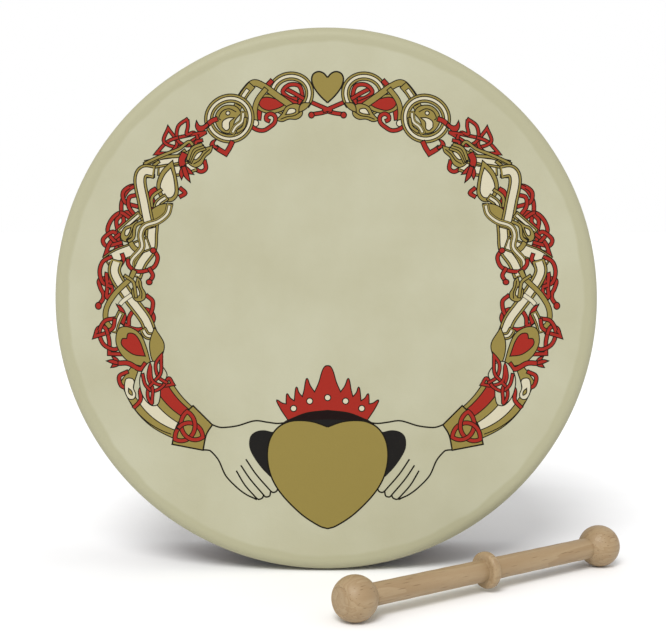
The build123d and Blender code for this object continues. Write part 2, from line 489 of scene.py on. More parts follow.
@dataclass
class Wreath:
    """Ring of knotwork, drawn once for the right half and mirrored for the left.

    Points are pairs of distance along the ring from its top and distance outwards from it.

    Args:
        radius: of the ring that distances are measured along.
        sleeve_span: where the sleeve starts and ends along the ring.
    """

    radius: float = 111.0
    sleeve_span: Point = (227.0, 253.0)

    def on_ring(self, p: Point) -> Point:
        """Takes a point of the wreath to the plane of the skin."""
        angle, out = p[0] / self.radius, self.radius + p[1]
        return (out * sin(angle), out * cos(angle))

    def bud(self, d: Drawing, at: Point, turn: float, size: float = 1, flip: bool = False) -> None:
        """Leaf bud at the end of a stem, with a pale heart and a vein.

        Args:
            d: the drawing.
            at: its place.
            turn: degrees, anticlockwise.
            size: factor.
            flip: whether it is mirrored.
        """
        body = [(-5.6, 1.9), (-3.4, 3.6), (0.4, 3.9), (3.4, 2.2), (7.4, 1.1), (7.4, 1.1)]
        body += [(5.2, -0.9), (1.8, -1.5), (-1.4, -3.1), (-4.4, -2.7), (-5.8, -0.4)]
        pale = [(-2.8, 1.2), (-0.6, 2.5), (2.2, 1.1), (2.2, 1.1), (-0.4, 0.1), (-2.4, 0.0)]
        vein = [(-4.4, -0.9), (-1.2, -1.2), (2.2, -0.1), (5.4, 0.4)]
        d.shape(Ink.GOLD, placed(body, at, turn, size, flip))
        d.shape(Ink.CREAM, placed(pale, at, turn, size, flip))
        d.ribbon(placed(vein, at, turn, size, flip), FINE)

    def hook(self, d: Drawing, at: Point, turn: float, size: float = 1, flip: bool = False) -> None:
        """Red stem end that turns aside to a point.

        Args:
            d: the drawing.
            at: its place.
            turn: degrees, anticlockwise.
            size: factor.
            flip: whether it is mirrored.
        """
        form = [(0, 1.2), (0, 1.2), (3.4, 1.2), (5.2, 2.6), (5.0, 6.6), (5.0, 6.6), (7.6, 3.8)]
        form += [(8.2, 0.4), (6.8, -2.2), (3.8, -1.9), (0, -1.2), (0, -1.2)]
        d.shape(Ink.RED, placed(form, at, turn, size, flip))

    def frond(self, d: Drawing, at: Point, turn: float, size: float = 1) -> None:
        """Red stem end that opens into three narrow leaves.

        Args:
            d: the drawing.
            at: its place.
            turn: degrees, anticlockwise.
            size: factor.
        """
        for spread, length in ((34, 6.6), (-30, 6.4), (2, 8.6)):
            slim = [(0, 1.0), (0, 1.0), (length * 0.55, 1.5), (length, 0), (length, 0)]
            slim += [(length * 0.5, -0.9), (0, -1.0), (0, -1.0)]
            d.shape(Ink.RED, placed(slim, at, turn + spread, size))

    def leaf(
        self, d: Drawing, at: Point, turn: float, size: float, flip: bool, infill: Ink
    ) -> None:
        """Broad gold leaf filled with another ink.

        Args:
            d: the drawing.
            at: its place.
            turn: degrees, anticlockwise.
            size: factor.
            flip: whether it is mirrored.
            infill: the other ink.
        """
        rim = [
            (0, 0), (0, 0), (5, 4.0), (11, 5.6), (16.4, 3.6), (17.6, -0.6), (14, -3.6), (7, -2.6),
        ]
        bed = [(3.2, 0.3), (3.2, 0.3), (6.6, 2.7), (11.4, 4.1), (15.2, 2.4), (15.8, -0.5)]
        bed += [(13, -2.2), (7.4, -1.4)]
        d.shape(Ink.GOLD, placed(rim, at, turn, size, flip))
        d.shape(infill, placed(bed, at, turn, size, flip))

    def blade(
        self, d: Drawing, at: Point, turn: float, length: float, width: float, flip: bool = False
    ) -> None:
        """Plain pointed gold leaf that bulges to one side.

        Args:
            d: the drawing.
            at: its place.
            turn: degrees, anticlockwise.
            length: from its stem to its point.
            width: what its bulges are shares of.
            flip: whether it is mirrored.
        """
        form = [(0, 0), (0, 0), (0.25, 0.62), (0.58, 0.78), (1, 0.1), (1, 0.1), (0.62, -0.22)]
        form += [(0.28, -0.2)]
        sized = [(x * length, y * width) for x, y in form]
        d.shape(Ink.GOLD, placed(sized, at, turn, 1, flip))

    def knob(self, d: Drawing, at: Point, radius: float = 1.7, ink: Ink = Ink.RED) -> None:
        """Round end of a stem."""
        d.dot(ink, at, radius, 0.9)

    def first_quarter(self, d: Drawing) -> None:
        """Draws from the small heart to the second ring.

        Args:
            d: the drawing.
        """
        # red stems below the small heart
        d.ribbon([(2.6, -5.4), (0, -4.6), (-2, -3.0)], CORD)
        d.ribbon([(0.5, -5.0), (4, -5.8), (8.6, -6.2)], CORD)
        self.knob(d, (9.6, -6.6))
        # red knot inside the first ring
        d.weave([
            (smooth([
                (-2.4, -4.6), (0.5, -3.6), (7, -0.6), (13, 2.8), (17.4, 6.4), (22.6, 10.6),
            ]), CORD),
            (smooth([
                (17.4, -0.4), (13.8, 4.2), (14.6, 10.2), (19.6, 11.6), (23.4, 8.6), (20.6, 4.6),
                (16.6, 3.2),
            ]), CORD),
            (smooth([(17.0, 0.8), (21.0, 3.4), (27.4, 8.2)]), CORD),
        ])
        d.band(arc((19.6, 6.4), 10.0, 224, -96), RINGED)
        d.ribbon([(27.4, 16.0), (31, 13.2), (35.2, 8), (38.6, 1), (40.4, -2.4)], STRAP)
        self.leaf(d, (19.6, 0.6), 20, 1.15, True, Ink.RED)
        d.ribbon([
            (20.4, -0.2), (26.4, 6.6), (32.2, 14.2), (36.4, 17.6), (41.6, 15.2), (47.6, 10.6),
        ], plain(Ink.GOLD, 4.2))
        d.ribbon([(37.6, 16.8), (42.4, 13.6), (48.8, 8.2)], plain(Ink.GOLD, 5.0))
        d.ribbon([
            (40.2, 15.2), (43.2, 13.0), (47.2, 9.6),
        ], Stroke(((Ink.LINE, 1.3), (Ink.CREAM, 0.8))))
        d.ribbon([(31.4, 12.4), (37.4, 7.8), (40.8, 2.6), (42.6, -3.2)], LIMB)
        self.knob(d, (42.9, -3.6), 1.9, Ink.CREAM)
        self.bud(d, (21.6, -4.6), -16, 1.25)
        self.blade(d, (16.8, -4.2), 152, 8.5, 3.6, True)
        d.ribbon([
            (34.8, -5.2), (36.2, -3.8), (35.2, -1.8), (32.6, -1.6), (30.8, -3.8), (32.0, -6.8),
            (35.6, -8.4), (40, -9.0), (44, -6.8), (46.2, -2.6), (46.8, 1.0),
        ], CORD)
        # second ring, with a curling stem in it
        d.band(arc((54.8, 4.8), 11.2, 15, 375), RINGED)
        d.shape(Ink.GOLD, [
            (50.2, 10.6), (54.6, 12.6), (59.6, 11.0), (62.4, 6.4), (62.0, 0.8), (58.6, -2.4),
            (56.2, -1.6), (56.2, -1.6), (52.8, 2.4), (48.0, 4.6), (48.0, 4.6), (48.2, 7.8),
        ])
        d.shape(Ink.CREAM, [
            (60.6, 2.8), (60.6, 2.8), (58.8, 5.4), (55.4, 5.6), (52.2, 4.0), (52.2, 4.0),
            (55.6, 3.2), (57.6, 0.2), (59.8, 0.2),
        ])
        d.ribbon([(50.0, 6.4), (52.6, 9.8), (56.4, 10.4), (59.6, 8.2), (59.2, 6.6)], FINE)
        d.dot(Ink.CREAM, (54.2, 8.0), 1.1)
        d.ribbon([(46.6, 4.8), (49.4, 0.4), (54, -0.8), (57.6, -3.0)], channelled(3.4, 1.0, 0.34))
        d.ribbon([(46.8, 1.2), (50.0, -2.8), (54.6, -3.6)], ROD)
        d.ribbon([(60.6, 8.2), (63.6, 8.8), (67.4, 8.2)], STRAP)
        self.hook(d, (66.0, 8.5), 2, 0.8)
        d.ribbon([
            (59.8, -7.0), (63.6, -9.2), (67.2, -10.6), (67.2, -10.6), (69.0, -7.0), (69.8, -4.6),
        ], STRAP)
        self.hook(d, (69.4, -5.6), 68, 0.62)

    def second_quarter(self, d: Drawing) -> None:
        """Draws the sharp-cornered knot, the veined leaf and the leaf below it.

        Args:
            d: the drawing.
        """
        # sharp-cornered red knot on the outer side
        d.weave([
            (smooth([
                (69.4, 5.4), (69.4, 5.4), (78, 10.4), (87, 15.4), (95.6, 15.8), (95.6, 15.8),
                (90.6, 10.4), (84.4, 11.6), (82.9, 20.6), (82.9, 20.6), (88.8, 17.0), (86.2, 9.8),
                (80, 7.0),
            ], True), THIN),
            (smooth([
                (72.9, 17.6), (72.9, 17.6), (78.8, 17.6), (83.4, 12.2), (81.4, 6.2), (75.4, 5.2),
                (74.6, 9.4), (78.0, 11.2), (75.0, 14.2),
            ], True), THIN),
        ])
        d.ribbon([(73.6, 3.2), (77.0, 4.6), (78.2, 1.4)], THIN)
        # veined leaf, with a scroll under it
        d.ribbon([(80.0, -6.2), (82.6, -10.0), (86.2, -9.4), (87.8, -5.0)], CORD)
        d.ribbon([(86, -4.4), (92, -1.4), (97, 3.0), (101, 9.4)], BROAD)
        d.ribbon([(84.5, 3.4), (90.5, 4.6), (97, 10.2), (103.2, 16.2)], channelled(6.0, 2.4))
        d.ribbon([(79.2, 4.6), (82, 3.0), (88, 5.0), (95, 11.6), (103.8, 17.0)], ROD)
        d.ribbon([(79.2, 4.6), (79.8, 7.4), (86, 8.2), (92, 11.2), (103.2, 17.4)], ROD)
        self.bud(d, (80.4, -3.0), 187, 1.3, True)
        for lift in (0.0, 1.5, 3.0):
            d.ribbon([(75.2, -1.4 + lift), (80.6, 0.2 + lift), (86.8, -1.6 + lift * 0.7)], ROD)
        self.leaf(d, (92.6, 6.4), -33, 1.32, False, Ink.CREAM)
        d.ribbon([(85.6, 4.2), (89.4, 2.6), (91.8, -1.2)], plain(Ink.RED, 4.2))
        self.frond(d, (91.2, -0.4), -66, 1.15)
        # red scroll below the leaf
        d.ribbon([(102.0, -6.6), (102.6, -10.6), (106.4, -9.4)], CORD)

    def third_quarter(self, d: Drawing) -> None:
        """Draws the interlace outside, the broad bands that cross, and the hooks inside.

        Args:
            d: the drawing.
        """
        # red interlace on the outer side
        d.weave([
            (smooth([
                (113.4, 14.0), (118, 17.2), (124, 17.6), (129, 15.6), (133.4, 12.2), (138.0, 14.2),
                (138.0, 14.2), (133.6, 16.2), (128.4, 12.6), (129.6, 9.2), (134.6, 8.8),
                (140.2, 12.2), (145.6, 16.0), (151.4, 17.0), (151.4, 17.0), (148.6, 12.2),
                (142.6, 12.0), (140.0, 16.0), (144.6, 20.2), (147.4, 18.2), (146.2, 14.2),
                (143.8, 9.6),
            ]), CORD),
            (smooth([
                (114.4, 11.4), (115.4, 16.4), (120.2, 19.2), (124.2, 15.6), (123.4, 8.2),
            ]), CORD),
            (smooth([(118.6, 12.2), (121.2, 14.8), (125.4, 12.8), (128.4, 7.2)]), CORD),
            (smooth([
                (130.6, 9.4), (129.8, 15.4), (134.0, 18.8), (140.0, 19.2), (143.6, 15.0),
                (146.0, 8.8),
            ]), CORD),
        ])
        d.ribbon([(110.4, 4.2), (113.6, 5.4), (117.4, 2.0), (121.4, 0.4)], STRAP)
        # gold scroll and blades below
        d.ribbon([(105.2, 9.0), (107.6, 13.2), (104.6, 16.0), (102.2, 13.2), (97.8, 11.8)], ROD)
        d.ribbon([(109, 1.4), (115, 3.6), (120, 1.2)], ROD)
        d.ribbon([(111.0, -3.2), (116.6, -1.0), (122.4, -2.2), (128.4, 0.4)], RAIL)
        self.blade(d, (112.2, -8.0), 14, 25, 7.6)
        # broad bands that cross
        d.ribbon([(128.0, -3.0), (134, -4.8), (143, -6.8), (152, -3.6), (160.5, -1.6)], BROAD)
        d.ribbon([(140.0, -5.2), (146.6, 3.4), (151.0, 10.2), (155.4, 15.4)], channelled(8.4, 5.4))
        d.ribbon([(103.6, 10.4), (106.2, 15.2), (111, 14.4), (120, 6.2), (131.6, -2.6)], BROAD)
        d.ribbon([(126.6, 5.4), (132.6, 8.6), (139.0, 12.4)], RAIL)
        self.bud(d, (137.4, 7.0), 200, 1.0, True)
        d.ribbon([(141.2, 6.4), (145.0, 2.0), (145.8, -2.6)], LIMB)
        d.ribbon([(129.4, 2.0), (133.4, 5.2), (139.4, 4.2), (142.4, 6.2)], ROD)
        d.ribbon([
            (113.6, -7.0), (119.6, -8.2), (126, -5.4), (131.4, 0.2), (136.8, 0.8), (143.6, -2.0),
            (151.6, 1.8), (156.0, 1.4),
        ], channelled(4.0, 1.2, 0.38))
        # red hooks on the inner side
        d.ribbon([
            (143.0, -8.8), (146.8, -12.0), (152.6, -11.4), (156.2, -7.4), (157.6, -1.4),
            (155.0, 3.0), (151.8, 4.2),
        ], CORD)
        d.ribbon([(154.4, -8.4), (158.6, -11.2), (162.6, -9.8)], CORD)
        self.knob(d, (143.4, -8.6))
        self.knob(d, (163.0, -9.6))
        d.ribbon([(149.6, 8.0), (152.4, 6.6), (156.6, 8.2)], CORD)

    def last_quarter(self, d: Drawing) -> None:
        """Draws the loops round the broad band, and the leaf with a red heart.

        Args:
            d: the drawing.
        """
        d.weave([
            (smooth([
                (152.2, 13.4), (155.4, 17.8), (160.6, 18.8), (165.6, 16.4), (167.4, 11.0),
            ]), CORD),
            (smooth([
                (162.8, 13.6), (164.6, 18.6), (168.4, 17.6), (171.0, 16.0), (173.8, 16.2),
                (176.8, 18.8),
            ]), CORD),
            (smooth([
                (161.4, 14.8), (167.6, 13.8), (173.2, 14.4), (173.2, 14.4), (170.4, 10.8),
                (165.2, 12.6),
            ], True), CORD),
        ])
        self.knob(d, (177.0, 18.8))
        # red loops round the broad band
        d.ribbon([
            (188.2, 2.6), (183.4, 1.6), (179.6, -2.4), (180.4, -9.4), (185.0, -12.0), (189.6, -9.6),
            (191.4, -3.4), (189.6, 2.2), (186.4, 5.8),
        ], CORD)
        d.ribbon([(171.2, -8.4), (175.0, -12.0), (181.6, -11.0), (185.4, -7.8)], CORD)
        d.shape(Ink.RED, [
            (176.2, 8.8), (176.2, 8.8), (178.4, 5.2), (183.2, 3.4), (188.0, 5.2), (188.0, 5.2),
            (184.4, 8.4), (180.0, 7.2),
        ])
        d.ribbon([
            (153.6, 10.2), (160.0, 10.4), (168.6, 4.4), (178.6, -3.0), (186.4, -7.4), (196.0, -9.4),
        ], BROAD)
        d.ribbon([
            (157.4, -0.6), (162.6, 1.6), (171.0, 9.4), (178.6, 14.4), (185.4, 14.8), (189.8, 10.8),
        ], LIMB)
        d.ribbon([
            (171.4, 0.2), (174.6, 4.6), (176.4, 6.4),
        ], Stroke(((Ink.LINE, 1.35), (Ink.CREAM, 0.97))))
        self.bud(d, (168.6, -4.4), 176, 1.1, True)
        d.ribbon([(160.8, 4.6), (163.6, -0.4), (167.8, -1.8), (172.6, -2.6)], ROD)
        d.ribbon([(180.8, 6.0), (186.4, 9.4), (190.8, 11.4)], RAIL)
        # sharp-cornered knots on the outer side
        d.weave([
            (smooth([
                (183.8, 10.0), (183.8, 10.0), (184.6, 15.8), (189.6, 19.6), (195.8, 18.6),
                (199.4, 13.6), (199.0, 9.8),
            ]), CORD),
            (smooth([
                (190.4, 13.8), (191.4, 22.4), (191.4, 22.4), (187.8, 20.0), (188.0, 16.0),
                (194.6, 15.0), (201.0, 16.6), (201.0, 16.6), (203.0, 8.6),
            ]), CORD),
            (smooth([(184.0, 10.0), (188.4, 11.6), (190.2, 15.6)]), CORD),
        ])
        # large leaf with a red heart
        d.ribbon([(191.6, -5.0), (195.6, -6.6), (197.0, -10.0)], RAIL)
        d.shape(Ink.GOLD, [
            (213.4, -4.4), (213.4, -4.4), (211.2, 2.6), (205.6, 8.6), (197.4, 11.4), (190.6, 9.6),
            (188.6, 6.2), (190.0, 1.0), (194.8, -3.4), (203.0, -4.8),
        ])
        d.shape(Ink.RED, [
            (207.4, -2.8), (207.4, -2.8), (204.4, 3.6), (198.4, 8.4), (195.0, 7.6), (195.2, 5.0),
            (195.2, 5.0), (192.6, 3.6), (193.8, 0.0), (199.0, -2.2),
        ])
        self.blade(d, (214.8, -6.0), 192, 24, 8.0)
        # sleeve, starting below the knots
        d.shape(Ink.GOLD, [
            (216, 15.4), (216, 15.4), (230, 15.4), (243, 12.6), (256.8, 6.4), (256.8, 6.4),
            (254.6, 3.0), (254.6, 3.0), (243, 8.4), (230, 11.2), (222, 10.4), (214, 4.0),
            (214, 4.0), (210.6, 6.6), (210.6, 6.6),
        ])
        self.frond(d, (207.0, 12.6), 112, 0.85)
        d.ribbon([(206.8, 13.0), (208.4, 7.6), (213.4, 2.4), (211.4, -1.6)], STRAP)
        d.ribbon([(212.4, 9.6), (213.2, 15.0), (217.8, 16.0), (220.4, 13.2)], CORD)

    def sleeve_edge(self, first: float, last: float) -> list[Point]:
        """Edge of a stripe of the sleeve, by its distances outwards at the sleeve's two ends."""
        start, end = self.sleeve_span
        shares = [k / 12 for k in range(13)]
        return [(start + (end - start) * f, first + (last - first) * f**1.9) for f in shares]

    def sleeve(self, d: Drawing) -> None:
        """Draws the striped sleeve that the wreath runs into.

        Args:
            d: the drawing.
        """
        # each stripe's ink, and its outer and inner edge at the start and at the end
        stripes = [
            (Ink.GOLD, (15.4, 11.2), (6.4, 3.0)),
            (Ink.CREAM, (11.2, 3.6), (3.0, -1.8)),
            (Ink.GOLD, (3.6, -1.0), (-1.8, -6.2)),
            (Ink.RED, (-1.0, -8.2), (-6.2, -11.6)),
            (Ink.GOLD, (-8.2, -11.0), (-11.6, -13.8)),
        ]
        for ink, (top, low), (top_end, low_end) in stripes:
            above, below = self.sleeve_edge(top, top_end), self.sleeve_edge(low, low_end)
            d.fill(ink, above + below[::-1])
            d.band(above, FINE)
            d.band(below, FINE)

    def knots_on_sleeve(self, d: Drawing) -> None:
        """Draws the knots that lie over the start of the sleeve.

        Args:
            d: the drawing.
        """
        d.shape(Ink.CREAM, [
            (215.8, 12.2), (216.4, 9.0), (218.4, 8.2), (221.4, 10.2), (225.0, 10.6), (226.6, 12.8),
            (225.2, 15.4), (220.6, 15.2),
        ])
        d.shape(Ink.GOLD, [
            (220.6, 12.8), (220.6, 12.8), (222.8, 13.8), (224.6, 12.6), (222.6, 11.8),
        ])
        d.ribbon([(230.6, 15.2), (228.8, 9.8), (224.2, 7.2), (222.2, 3.4)], CORD)
        d.shape(Ink.SKIN, [
            (214.6, 1.6), (220, 5.6), (227.6, 7.4), (233.8, 6.0), (235.4, 2.4), (232.4, -1.0),
            (227.0, -4.6), (222.6, -10.4), (214.4, -9.0), (211.4, -4.4),
        ])
        d.weave([
            (smooth([
                (216.4, 2.2), (216.4, 2.2), (222.8, 3.2), (227.6, 0.8), (227.8, -5.0),
                (225.0, -10.4), (229.6, -11.0), (229.6, -11.0), (227.4, -5.6), (222.2, -1.4),
                (213.4, -3.6), (213.4, -3.6), (219.4, -0.2), (226.4, 0.6), (231.0, 3.4),
                (233.2, 5.0), (229.4, 5.2), (225.0, 2.4), (222.6, -3.0), (219.6, -7.8),
                (209.8, -11.6), (209.8, -11.6), (214.0, -6.8), (221.4, -5.4), (227.2, -8.4),
            ]), THIN),
        ])

    def draw(self, d: Drawing) -> None:
        """Draws the whole right half of the wreath.

        Args:
            d: the drawing.
        """
        d.mapping = self.on_ring
        self.first_quarter(d)
        self.second_quarter(d)
        self.third_quarter(d)
        self.last_quarter(d)
        self.sleeve(d)
        self.knots_on_sleeve(d)


@dataclass
class Emblem:
    """Two cuffed hands that hold a crowned heart, drawn once for the right half.

    Points are in mm from the centre of the print, x to the right and z up.
    """

    def trefoil(self, tip: float, turn: float) -> list[Point]:
        """Closed path of a three-cornered knot.

        Args:
            tip: distance of its corners from its centre.
            turn: degrees, anticlockwise.

        Returns:
            The path, which ends where it starts.
        """
        step = tip / 2
        path: list[Point] = []
        for k in range(3):
            angle = turn - 120 * k
            centre = (step * cos(radians(angle)), step * sin(radians(angle)))
            path += arc(centre, step * sqrt(3), angle + 90, angle + 270)[:-1]
        return path + path[:1]

    def cuff(self, d: Drawing) -> None:
        """Draws the gold cuff with a three-cornered knot on it.

        Args:
            d: the drawing.
        """
        outline = smooth([
            (76.6, -60.0), (76.6, -60.0), (65.7, -71.0), (65.7, -71.0), (69.2, -76.8),
            (71.1, -85.6), (71.1, -85.6), (88.7, -82.2), (88.7, -82.2), (86.6, -73.0),
            (82.2, -65.6), (76.6, -60.0), (76.6, -60.0),
        ])[:-1]
        d.fill(Ink.GOLD, outline)
        d.band(outline + outline[:1], BOLD, closed=True)
        knot = [(79.4 + 0.9 * x, -73.6 + y) for x, y in self.trefoil(10.2, 26)]
        d.weave([(knot, plain(Ink.RED, 2.9))])

    def hand(self, d: Drawing) -> None:
        """Draws the hand, left bare skin inside its outline, and the dark cloth behind it.

        Args:
            d: the drawing.
        """
        cloth = [
            (29, -76.4), (32.2, -75.0), (36.4, -74.1), (40.7, -74.8), (43.8, -77.2), (44.8, -81.3),
            (44.0, -86.0), (40.4, -92.3), (35.4, -98.4), (31, -101.0), (28, -90),
        ]
        d.fill(Ink.CHARCOAL, smooth(cloth, True))
        # back of the hand, then its lower side with the thumb
        d.ribbon([
            (65.8, -70.9), (62.4, -72.2), (58.7, -72.5), (51.2, -71.5), (41.6, -68.7),
            (34.4, -69.5), (28.6, -70.2), (23.0, -69.6),
        ], BOLD)
        d.ribbon([
            (70.9, -85.4), (68.2, -85.6), (66.3, -86.5), (62.2, -91.5), (58.2, -100.3),
            (51.9, -107.1), (46.7, -111.1), (41.8, -113.5),
        ], BOLD)
        # lines between the fingers, then the fingertips
        for line in (
            [(52.2, -97.4), (47.4, -105.6), (41.3, -112.7)],
            [(49.6, -94.3), (44.2, -102.4), (36.6, -111.5)],
            [(46.7, -90.8), (40.8, -99.6), (32.6, -109.2)],
            [(41.8, -113.5), (41.0, -113.9), (41.3, -112.7)],
            [(41.3, -112.7), (39.6, -114.0), (37.4, -113.2), (36.6, -111.5)],
            [(36.6, -111.5), (35.4, -112.6), (33.2, -112.0), (32.6, -109.2)],
            [(32.6, -109.2), (31.2, -110.0), (29.4, -109.4), (28.4, -107.6)],
        ):
            d.ribbon(line, BOLD)

    def crown(self, d: Drawing) -> None:
        """Draws the crown, over the dark ground that shows below it.

        Args:
            d: the drawing.
        """
        ground = smooth([
            (0, -62.2), (12, -63.6), (22.4, -67.8), (27.3, -71.2), (27.3, -71.2), (20, -73.4),
            (0, -74),
        ])
        d.fill(Ink.MAROON, ground + [(0, -74)])
        notch = smooth([(0, -67.9), (11, -68.3), (11, -68.3), (5.6, -71.6), (0, -73.4)])
        d.fill(Ink.CHARCOAL, notch + [(0, -73.4)])
        outline = smooth([
            (-1.6, -37.6), (0, -37.1), (1.6, -37.6), (3.2, -40.4), (5.0, -46.6), (7.4, -52.1),
            (7.4, -52.1), (9.8, -48.6), (11.2, -44.9), (12.0, -44.6), (12.6, -46.2), (13.4, -51.0),
            (14.4, -54.8), (14.4, -54.8), (16.4, -52.4), (17.2, -49.8), (18.0, -49.6),
            (18.5, -52.0), (19.0, -57.2), (19.0, -57.2), (21.2, -55.6), (22.6, -53.4),
            (23.4, -53.6), (23.6, -56.4), (23.6, -59.0), (23.6, -59.0), (26.0, -58.4),
            (28.4, -56.8), (29.0, -57.6), (26.4, -62.6), (22.6, -68.3), (22.6, -68.3), (12, -64.2),
            (0, -62.7),
        ])
        d.fill(Ink.RED, outline)
        d.band(outline, FINE)
        for at in ((0, -55.4), (10.2, -57.4), (19.4, -61.6)):
            d.dot(Ink.CREAM, at, 1.75)

    def hearts(self, d: Drawing) -> None:
        """Draws the right halves of the large heart and of the small one at the top.

        Args:
            d: the drawing.
        """
        large = [
            (0, -72.2), (0, -72.2), (7.8, -69.4), (15.4, -68.5), (22.4, -69.3), (28.6, -72.8),
            (32.8, -79.0), (34.4, -87.0), (33.6, -96.0), (30.6, -104.4), (24.7, -113.0),
            (14.8, -122.8), (5.2, -129.2), (0, -131.0), (0, -131.0),
        ]
        small = [
            (0, 124.8), (0, 124.8), (2.2, 127.2), (5.0, 128.1), (7.8, 126.9), (8.9, 123.8),
            (7.6, 119.4), (4.2, 114.8), (0, 110.8),
        ]
        for half in (large, small):
            edge = smooth(half)
            d.fill(Ink.GOLD, edge)
            d.band(edge, BOLD)

    def draw(self, d: Drawing) -> None:
        """Draws the right half of the emblem, over the end of the wreath.

        Args:
            d: the drawing.
        """
        d.mapping = lambda p: p
        self.cuff(d)
        self.hand(d)
        self.crown(d)
        self.hearts(d)


# ---- Modelling --------------------------------------------------------------


def pick(obj: bpy.types.Object) -> None:
    """Makes a piece the only selected object, and the active one."""
    bpy.ops.object.select_all(action="DESELECT")
    obj.select_set(True)
    bpy.context.view_layer.objects.active = obj


WELD = 2e-6  # m, points nearer than this are one
Y_AXIS = Vector((0, 1, 0))


def turned(name: str, profile: list[Vector], axis: Vector, steps: int) -> bpy.types.Object:
    """Models a solid of revolution by extruding a point along a profile and spinning it.

    Args:
        name: the piece's name.
        profile: points in mm from pole to pole, in a plane through the axis.
        axis: direction of the axis, which goes through the profile's first point.
        steps: facets round the axis.

    Returns:
        The piece, its place in its mesh.
    """
    bpy.ops.object.select_all(action="DESELECT")
    bpy.ops.mesh.primitive_plane_add(size=MM, location=profile[0] * MM)
    obj = bpy.context.object
    obj.name = name
    bpy.ops.object.transform_apply(location=True)
    bpy.ops.object.mode_set(mode="EDIT")
    bpy.ops.mesh.select_all(action="SELECT")
    bpy.ops.mesh.merge(type="CENTER")
    for a, b in zip(profile, profile[1:]):
        bpy.ops.mesh.extrude_vertices_move(TRANSFORM_OT_translate={"value": (b - a) * MM})
    bpy.ops.mesh.select_all(action="SELECT")
    bpy.ops.mesh.spin(steps=steps, angle=2 * pi, center=profile[0] * MM, axis=axis)
    bpy.ops.mesh.select_all(action="SELECT")
    bpy.ops.mesh.remove_doubles(threshold=WELD)
    bpy.ops.mesh.normals_make_consistent(inside=False)
    bpy.ops.object.mode_set(mode="OBJECT")
    return obj


def shade(obj: bpy.types.Object, angle: float) -> None:
    """Shades a piece smooth, apart from edges sharper than an angle in degrees."""
    pick(obj)
    bpy.ops.object.shade_smooth_by_angle(angle=radians(angle))


def bend(centre: Point, radius: float, start: float, end: float, steps: int) -> list[Point]:
    """Rounds a profile's corner.

    Args:
        centre: of the round.
        radius: of the round.
        start: first angle in degrees.
        end: last angle.
        steps: how many runs it has.

    Returns:
        The round's points.
    """
    angles = [radians(start + (end - start) * k / steps) for k in range(steps + 1)]
    return [(centre[0] + radius * cos(a), centre[1] + radius * sin(a)) for a in angles]


# ---- Finishes ---------------------------------------------------------------


def linear(code: str) -> tuple[float, float, float, float]:
    """Turns an sRGB colour to a linear one.

    Args:
        code: hex value, such as "#C5C1A5".

    Returns:
        Linear red, green, blue and alpha.
    """
    parts = [int(code[i : i + 2], 16) / 255 for i in (1, 3, 5)]
    r, g, b = (c / 12.92 if c <= 0.04045 else ((c + 0.055) / 1.055) ** 2.4 for c in parts)
    return (r, g, b, 1.0)


Socket = bpy.types.NodeSocket
MULTIPLY = {"operation": "MULTIPLY"}
SUBTRACT = {"operation": "SUBTRACT"}
COLOURS = {"data_type": "RGBA"}


class Nodes:
    """A node tree that is built up node by node.

    Args:
        tree: the tree.
    """

    def __init__(self, tree: bpy.types.NodeTree) -> None:
        """Takes the tree."""
        self.tree = tree

    def feed(self, node: bpy.types.Node, **sockets: object) -> None:
        """Sets or links a node's inputs.

        Args:
            node: the node.
            sockets: values or links by input, whose name such as in_0 gives its number.
        """
        for key, value in sockets.items():
            number = key.removeprefix("in_")
            socket = node.inputs[int(number) if number.isdigit() else key.replace("_", " ")]
            if isinstance(value, Socket):
                self.tree.links.new(value, socket)
            else:
                socket.default_value = value

    def add(
        self,
        kind: str,
        settings: dict[str, str] | None = None,
        out: int | str = 0,
        **sockets: object,
    ) -> Socket:
        """Adds a node.

        Args:
            kind: the node's type, without what all shader nodes' types start with.
            settings: its properties.
            out: name or number of the output that is wanted.
            sockets: values or links of its inputs.

        Returns:
            The output.
        """
        node = self.tree.nodes.new("ShaderNode" + kind)
        for key, value in (settings or {}).items():
            setattr(node, key, value)
        self.feed(node, **sockets)
        return node.outputs[out]


class Recipe(Nodes):
    """A material in which lengths are millimetres.

    Args:
        name: the material's name.
    """

    def __init__(self, name: str) -> None:
        """Starts a material with nothing but a shader and the place of each point."""
        self.material = bpy.data.materials.new(name)
        self.material.use_nodes = True
        super().__init__(self.material.node_tree)
        metres = self.add("TexCoord", out="Object")
        self.place = self.add("Mapping", Vector=metres, Scale=(1 / MM, 1 / MM, 1 / MM))

    def finish(self, **sockets: object) -> bpy.types.Material:
        """Sets or links the shader's own sockets, and gives the material."""
        self.feed(self.tree.nodes["Principled BSDF"], **sockets)
        return self.material


